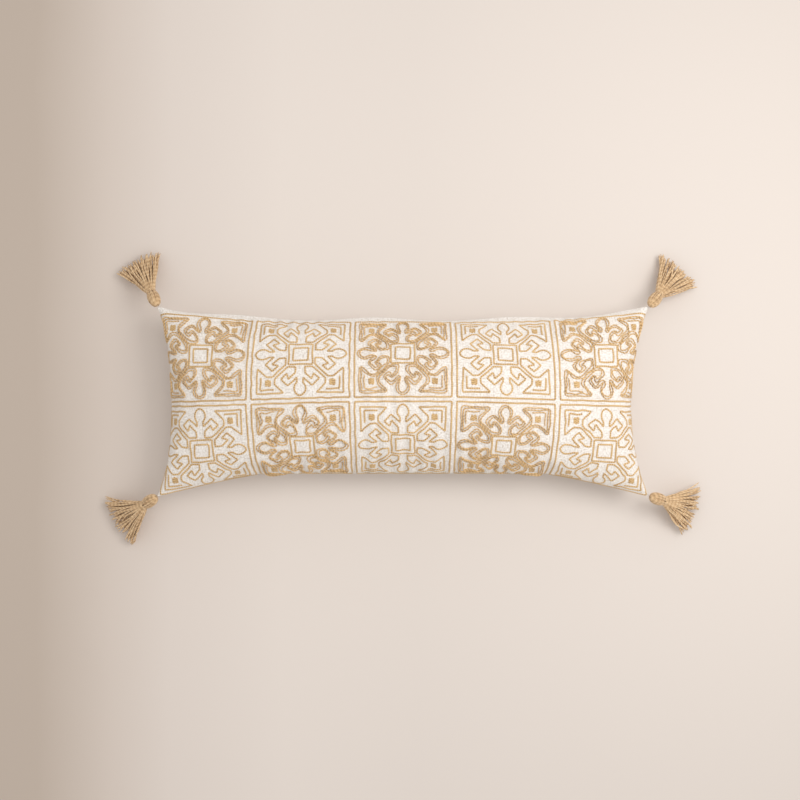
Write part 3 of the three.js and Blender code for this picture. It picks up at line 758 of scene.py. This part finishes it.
def wander(count, amount, period, closed_length):
    """A smooth seeded sideways wobble along a hand-worked line."""
    place = np.linspace(0, 2 * math.pi, count, endpoint=False)
    wobble = np.zeros(count)
    turns = max(2, int(closed_length / period))
    for share in (1.0, 0.6, 0.37):
        wobble += rng.normal(0, 1) * np.sin(place * max(1, int(turns * share)) + rng.uniform(0, 6.28))
    return amount * wobble / 1.6


def chain_profile(s):
    """The cross-section at each place along a chain stitch: wide in a link, narrow where two links meet."""
    link = np.abs(np.sin(math.pi * s / CHAIN_PITCH))
    width = CHAIN_HALF_WIDTH * (0.62 + 0.38 * link ** 0.7)
    height = np.full(len(s), CHAIN_HEIGHT) * (0.8 + 0.2 * link)
    profile = CHAIN_SECTION[None] * np.stack([width, height], 1)[:, None]
    profile[:, 3, 1] -= 0.00045 * link
    return profile


def cord_profile(s):
    """The cross-section at each place along a cord of two plies."""
    angles = np.arange(CORD_SIDES) * 2 * math.pi / CORD_SIDES
    twist = np.cos(2 * (angles[None, :] - 2 * math.pi * s[:, None] / CORD_TWIST))
    radius = CORD_RADIUS * (1 + 0.20 * twist)
    return np.stack([np.cos(angles) * radius, np.sin(angles) * radius * 1.15], -1)


def lay_line(parts, surface, line, closed, kind):
    """Lays one embroidered line on the cloth: a flat chain stitch, or a raised couched cord."""
    chained = kind == "chain"
    step = CHAIN_STEP if chained else CORD_STEP
    line = softened(resample(line, step, closed), 2 if chained else 5, closed)
    length = step * len(line)
    across = tangents(line, closed) @ np.array([[0, -1], [1, 0]])
    amount = CHAIN_WOBBLE if chained else CORD_WOBBLE
    wobble = wander(len(line), amount, WOBBLE_LENGTH, length)
    line = line + across * wobble[:, None]
    points, normals = surface.at(line)
    along = tangents(points, closed)
    side = unit(np.cross(along, normals))
    s = np.arange(len(line)) * step
    if chained:
        profile = chain_profile(s)
        lift = CHAIN_LIFT
    else:
        profile = cord_profile(s)
        lift = (CORD_LIFT + 0.00035 * np.sin(s / 0.006))[:, None]
    marks = np.zeros(profile.shape[:2] + (3,))
    marks[..., 0] = s[:, None]
    marks[..., 1] = np.linspace(0, 0.006, profile.shape[1])[None, :]
    marks[..., 2] = rng.uniform(0, 1)
    parts.tube(points + normals * lift, side, normals, profile, marks, closed=closed)


def beside(line, gap, closed):
    """A line running beside another, at a gap to its left."""
    even = softened(resample(line, 0.002, closed), 2, closed)
    return even + gap * (tangents(even, closed) @ np.array([[0, 1], [-1, 0]]))


def patch_line():
    """The zigzag that fills the small patch in a tile's corner."""
    line = []
    for row, dx in enumerate((-0.75, -0.25, 0.25, 0.75)):
        ends = (-1, 1) if row % 2 == 0 else (1, -1)
        for dy in ends:
            line.append((PATCH_CENTRE + dx * PATCH_HALF, PATCH_CENTRE + dy * PATCH_HALF))
    return line


def tile_centre(row, column):
    """Where a tile's centre is in the flat cloth; rows and columns count from one."""
    u = (column - (TILE_COLUMNS + 1) / 2) * TILE_PITCH
    v = (row - 1.5) * 2 * ROW_HALF_PITCH + PATTERN_SHIFT
    return np.array([u, v])


def tile(surface, row, column):
    """One embroidered tile: its border, motif, brackets, patches and centre squares."""
    centre = tile_centre(row, column)
    half = np.array([TILE_HALF_U, TILE_HALF_V])
    raised = (row + column) % 2 == 1
    flat_parts = Parts()
    lay_line(flat_parts, surface, centre + square(1.0) * half, True, "chain")
    for size in SQUARE_SIZES:
        lay_line(flat_parts, surface, centre + square(size) * half, True, "chain")
    for patch in corners(patch_line()):
        lay_line(flat_parts, surface, centre + patch * half, False, "chain")
    outline = centre + motif_outline() * half
    brackets = [centre + line * half for line in corners(BRACKET)]
    if not raised:
        lay_line(flat_parts, surface, outline, True, "chain")
        for line in brackets:
            lay_line(flat_parts, surface, line, False, "chain")
    name = f"tile_border_{row}_{column}"
    finish_piece(flat_parts.build(f"embroidery_{row}_{column}", GOLD), "pillow", "gold_thread", name)
    if raised:
        cords = Parts()
        for gap in (-CORD_GAP, CORD_GAP):
            lay_line(cords, surface, beside(outline, gap, True), True, "cord")
        for line in brackets:
            lay_line(cords, surface, line, False, "cord")
        finish_piece(cords.build(f"couched_cord_{row}_{column}", DEEP_GOLD), "pillow", "gold_thread")


# ---- tassels ----
LOOP_LENGTH = 0.014
HEAD_RADIUS = 0.0105
HEAD_START = 0.0048
LOOP_START = 0.0027
BINDING_LENGTH = 0.006
SKIRT_LENGTH = 0.078
SKIRT_HALF_THICKNESS = 0.0058
WRAP_RADIUS = 0.0071
NECK_START = LOOP_LENGTH + 2 * HEAD_RADIUS
SKIRT_START = NECK_START + BINDING_LENGTH
STRANDS = 78
YARN_SIDES = 7
HEAD_YARNS = 26
HEAD_YARN_RADIUS = 0.00125
CORE_RINGS = 12
CORE_SIDES = 14
BINDING_TURNS = 5
BINDING_YARN_RADIUS = 0.00095
LOOP_PLY_RADIUS = 0.00085
TASSEL_FLOOR_GAP = 0.0004
TASSEL_DROP = 0.530  # how far a tassel sinks for each metre of its length
TASSEL_SPREADS = (
    ("back_left", 0.0320),
    ("back_right", 0.0350),
    ("front_left", 0.0400),
    ("front_right", 0.0370),
)


def yarn_tube(parts, points, radius, twist_length, shade, taper_end=False):
    """A two-ply yarn along a line of points in a tassel's own frame."""
    along = tangents(points, False)
    guide = np.array([0.0, 0.0, 1.0])
    side = np.cross(along, guide)
    side = unit(np.where(np.linalg.norm(side, axis=1, keepdims=True) < 0.05, np.array([1.0, 0, 0]), side))
    up = np.cross(side, along)
    s = np.concatenate([[0], np.cumsum(np.linalg.norm(np.diff(points, axis=0), axis=1))])
    angles = np.arange(YARN_SIDES) * 2 * math.pi / YARN_SIDES
    plies = np.cos(2 * (angles[None, :] - 2 * math.pi * s[:, None] / (2 * twist_length)))
    grow = np.full(len(s), radius)
    if taper_end:
        grow[-3:] = radius * np.array([1.08, 1.0, 0.55])
    ring = grow[:, None] * (1 + 0.12 * plies)
    profile = np.stack([np.cos(angles) * ring, np.sin(angles) * ring], -1)
    marks = np.zeros((len(s), YARN_SIDES, 3))
    marks[..., 0] = s[:, None]
    marks[..., 1] = np.linspace(0, 0.007, YARN_SIDES)[None, :]
    marks[..., 2] = shade
    parts.tube(points, side, up, profile, marks)


def skirt_strands(spread):
    """The fan of cut yarns, in layers from the middle outwards."""
    parts = Parts()
    for index in range(STRANDS):
        layer = index % 3 - 1
        across = (index // 3 + rng.uniform(0.1, 0.9)) / (STRANDS / 3) * 2 - 1
        reach = SKIRT_LENGTH * (1 - rng.uniform(0, 0.16)) * (1 - 0.06 * across * across)
        t = np.linspace(0, 1, 26)
        fan = across * spread * t ** 1.15
        root = across * WRAP_RADIUS
        bow = rng.normal(0, 0.0020) * np.sin(math.pi * t) + rng.normal(0, 0.0009) * np.sin(2.5 * math.pi * t)
        flick = rng.normal(0, 0.0036) * t ** 4
        x = root + fan + bow + flick
        y = SKIRT_START - 0.004 + (reach + 0.004) * t
        depth = math.sqrt(max(0.05, 1 - across * across))
        z = layer * (WRAP_RADIUS * 0.7 * depth + t * (SKIRT_HALF_THICKNESS - 0.004) * depth)
        z = z + rng.normal(0, 0.0006) * np.sin(math.pi * t * 1.5)
        z = np.clip(z, -SKIRT_HALF_THICKNESS - 0.002 * (1 - t), SKIRT_HALF_THICKNESS + 0.002 * (1 - t))
        radius = rng.uniform(0.00105, 0.00150)
        shade = rng.uniform(0, 1)
        yarn_tube(parts, np.stack([x, y, z], 1), radius, 0.0046, shade, taper_end=True)
    return parts


def head_yarns():
    """Yarns folded over the head and gathered at the neck, round a solid core."""
    parts = Parts()
    for index in range(HEAD_YARNS):
        turn = index * 2 * math.pi / HEAD_YARNS + rng.normal(0, 0.04)
        lean = rng.normal(0, 0.12)
        t = np.linspace(0.03, 1, 24)
        swing = t * (math.pi - 0.72)
        radius = np.maximum(HEAD_RADIUS * 0.93 * np.sin(swing) ** 0.8, 0.0006)
        y = HEAD_START + (NECK_START - HEAD_START) * (1 - np.cos(swing)) / (1 - math.cos(swing[-1]))
        angle = turn + lean * t
        points = np.stack([radius * np.cos(angle), y, radius * np.sin(angle)], 1)
        run = np.array([[WRAP_RADIUS * 0.93 * math.cos(angle[-1]), SKIRT_START - 0.001,
                         WRAP_RADIUS * 0.93 * math.sin(angle[-1])]])
        yarn_tube(parts, np.vstack([points, run]), HEAD_YARN_RADIUS, 0.0040, rng.uniform(0, 1))
    add_core(parts)
    return parts


def add_core(parts):
    """The head's solid core, which closes the gaps between its yarns."""
    core = np.linspace(0.0, math.pi - 0.5, CORE_RINGS)
    still = np.zeros(CORE_RINGS)
    y = HEAD_START + 0.0015 + (NECK_START - HEAD_START) / 2 * (1 - np.cos(core))
    spine = np.stack([still, y, still], 1)
    girth = np.maximum(HEAD_RADIUS * 0.86 * np.sin(core) ** 0.8, 0.0004)
    turns = np.arange(CORE_SIDES) * 2 * math.pi / CORE_SIDES
    profile = np.stack([np.cos(turns) * girth[:, None], np.sin(turns) * girth[:, None]], -1)
    marks = np.zeros((CORE_RINGS, CORE_SIDES, 3))
    marks[..., 0] = spine[:, 1:2]
    side = np.tile([1.0, 0, 0], (CORE_RINGS, 1))
    up = np.tile([0, 0, -1.0], (CORE_RINGS, 1))
    parts.tube(spine, side, up, profile, marks)


def binding_wraps():
    """Yarn wound round the neck."""
    parts = Parts()
    t = np.linspace(0, 1, 26 * BINDING_TURNS)
    angle = 2 * math.pi * BINDING_TURNS * t
    radius = WRAP_RADIUS + 0.0005 + 0.0002 * np.sin(angle * 1.7)
    y = NECK_START + 0.0011 + (BINDING_LENGTH - 0.0022) * t
    points = np.stack([radius * np.cos(angle), y, radius * np.sin(angle)], 1)
    yarn_tube(parts, points, BINDING_YARN_RADIUS, 0.0038, rng.uniform(0, 1))
    return parts


def loop_cord():
    """Two plies twisted together, from the pillow's corner to the head."""
    parts = Parts()
    t = np.linspace(0, 1, 40)
    y = LOOP_START + (LOOP_LENGTH - LOOP_START + 0.0007) * t
    for phase in (0, math.pi):
        angle = phase + 2 * math.pi * 2.2 * t
        radius = LOOP_PLY_RADIUS * np.minimum(1, 0.15 + 3 * t)
        points = np.stack([radius * np.cos(angle), y, radius * np.sin(angle)], 1)
        yarn_tube(parts, points, LOOP_PLY_RADIUS, 0.0035, rng.uniform(0, 1))
    return parts


def tassel_frame(name):
    """The tassel's origin and its sideways, lengthwise and upward directions at rest."""
    joint = next(j for j in frame["joints"] if j["child"] == f"tassel_{name}")
    origin = np.array(joint["pos_m"])
    sideways = np.array(joint["axis"])
    level = np.array([-sideways[1], sideways[0], 0.0])
    along = level * math.sqrt(1 - TASSEL_DROP ** 2) - np.array([0, 0, TASSEL_DROP])
    return origin, sideways, along, np.cross(sideways, along)


def tassel(name, spread):
    """One tassel: loop, head, binding and fanned skirt, each in its own piece."""
    origin, sideways, along, up = tassel_frame(name)
    basis = np.stack([sideways, along, up])
    for piece, parts in (("loop", loop_cord()), ("head", head_yarns()), ("binding", binding_wraps()),
                         ("skirt", skirt_strands(spread))):
        parts.points = [points @ basis + origin for points in parts.points]
        for points in parts.points:
            np.maximum(points[:, 2], TASSEL_FLOOR_GAP, out=points[:, 2])
        obj = parts.build(f"tassel_yarn_{name}_{piece}", JUTE)
        finish_piece(obj, f"tassel_{name}", "jute_yarn", f"tassel_{name}_{piece}")


# ---- the zip ----
TOOTH_PITCH = 0.0021
TOOTH_OUTLINE = np.array([(-0.30, 0.0), (0.30, 0.0), (0.30, 0.45), (0.48, 0.62), (0.40, 0.95), (0.0, 1.0),
                          (-0.40, 0.95), (-0.48, 0.62), (-0.30, 0.45)])
TOOTH_DEPTH = np.array([0.0, 0.15, 0.85, 1.0])
TOOTH_BEVEL = np.array([0.78, 1.0, 1.0, 0.78])
ZIP_STITCH_LENGTH = 0.0030
ZIP_STITCH_INSET = 0.0065


def tooth_row(name, upper):
    """A row of small headed teeth along one tape, standing for its CAD strip."""
    low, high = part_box(name)
    parts = Parts()
    count = int((high[0] - low[0]) / TOOTH_PITCH)
    tape_side, tooth_tip = (high[2], low[2]) if upper else (low[2], high[2])
    for number in range(count):
        x = low[0] + (number + 0.5) * TOOTH_PITCH
        rings = np.zeros((len(TOOTH_DEPTH), len(TOOTH_OUTLINE), 3))
        rings[..., 0] = x + TOOTH_OUTLINE[None, :, 0] * TOOTH_BEVEL[:, None] * TOOTH_PITCH * 0.95
        rings[..., 1] = low[1] + TOOTH_DEPTH[:, None] * (high[1] - low[1])
        rings[..., 2] = tape_side + TOOTH_OUTLINE[None, :, 1] * (tooth_tip - tape_side)
        marks = np.zeros(rings.shape)
        index = parts.grid(rings, marks, wrap=True, flip=upper)
        first, last = index[:1, :-1], index[-1:, :-1]
        parts.faces.append(first[:, ::-1] if upper else first)
        parts.faces.append(last if upper else last[:, ::-1])
    teeth = parts.build("detailed_" + name, ZIP_METAL, smooth=False)
    return finish_piece(teeth, "pillow", "zip_metal", name)


def dress(names, material):
    """CAD pieces whose shape is right get a full material."""
    for name in names:
        node = frame["nodes"][name]
        node.data.materials.clear()
        node.data.materials.append(material)


def running_stitch(surface, v, body_name):
    """A row of short stitches beside the zip."""
    parts = Parts()
    reach = ZIP_HALF * FLAT_HALF_LENGTH / CORNER_X
    for u in np.arange(-reach, reach, CHAIN_PITCH):
        lay_line(parts, surface, np.array([(u, v), (u + ZIP_STITCH_LENGTH, v)]), False, "chain")
    return finish_piece(parts.build(body_name, ZIP_THREAD), "pillow", "gold_thread")


# ---- surroundings ----
FLOOR_HALF = 6.0
CAMERA_PLACE = (-0.0057, 0.0026)
CAMERA_HEIGHT = 2.5
SENSOR_WIDTH = 36  # in millimetres, as Blender has it
VIEW_WIDTH = 1.40  # of the picture, at the seam's height
SKY_STRENGTH = 0.74
LIGHTS = [  # name, place, size, power and colour
    ("key", (0.90, 0.30, 1.45), 0.9, 10, (1.0, 0.99, 0.98)),
    ("fill", (0.55, 0.55, 2.3), 1.6, 9, (1.0, 0.99, 0.98)),
]


def surroundings():
    """Floor, camera straight above, and soft light from the far right."""
    floor = Parts()
    half = FLOOR_HALF
    sheet = np.array([[(-half, -half, 0), (-half, half, 0)], [(half, -half, 0), (half, half, 0)]], float)
    floor.grid(sheet, np.zeros_like(sheet))
    floor.build("floor", paper_floor("pale_floor"))

    camera = bpy.data.objects.new("camera", bpy.data.cameras.new("camera"))
    bpy.context.scene.collection.objects.link(camera)
    camera.location = (*CAMERA_PLACE, CAMERA_HEIGHT)
    camera.data.sensor_width = SENSOR_WIDTH
    camera.data.lens = SENSOR_WIDTH * (CAMERA_HEIGHT - SEAM_Z) / VIEW_WIDTH
    bpy.context.scene.camera = camera

    for name, place, size, power, color in LIGHTS:
        light = bpy.data.lights.new(name, "AREA")
        light.shape = "DISK"
        light.size = size
        light.energy = power
        light.color = color
        lamp = bpy.data.objects.new(name, light)
        bpy.context.scene.collection.objects.link(lamp)
        lamp.location = place
        lamp.rotation_euler = (Vector((0, 0, 0.05)) - Vector(place)).to_track_quat("-Z", "Y").to_euler()

    world = bpy.data.worlds.new("soft_sky")
    bpy.context.scene.world = world
    world.use_nodes = True
    background = world.node_tree.nodes["Background"]
    background.inputs["Color"].default_value = (1.0, 0.985, 0.97, 1)
    background.inputs["Strength"].default_value = SKY_STRENGTH
    bpy.context.scene.view_settings.view_transform = "Standard"


# ---- the whole pillow ----
def main():
    """Builds every piece and its surroundings."""
    u, v, layers = inflate_cover()
    front = Surface(u, v, layers[0], 1)
    back = Surface(u, v, layers[1], -1)
    for name, surface, turned in (("cover_front", front, False), ("cover_back", back, True)):
        panel = cover_panel("cotton_" + name, surface, turned)
        finish_piece(panel, "pillow", "cover_cloth", name)
    insert_and_fill(front, back)
    finish_piece(seam_thread(front), "pillow", "gold_thread", "seam_overlock_thread")
    for row in (1, 2):
        for column in range(1, TILE_COLUMNS + 1):
            tile(front, row, column)
    for name, spread in TASSEL_SPREADS:
        tassel(name, spread)
    tooth_row("zipper_teeth_upper", True)
    tooth_row("zipper_teeth_lower", False)
    running_stitch(front, front.v[0] + ZIP_STITCH_INSET, "zip_stitching_upper")
    running_stitch(back, back.v[0] + ZIP_STITCH_INSET, "zip_stitching_lower")
    dress(["zipper_tape_upper", "zipper_tape_lower"], ZIP_CLOTH)
    dress(["zipper_slider", "zipper_pull"], ZIP_METAL)
    dress(["zipper_bottom_stop", "zipper_top_stop_upper", "zipper_top_stop_lower"], ZIP_METAL)
    surroundings()


main()
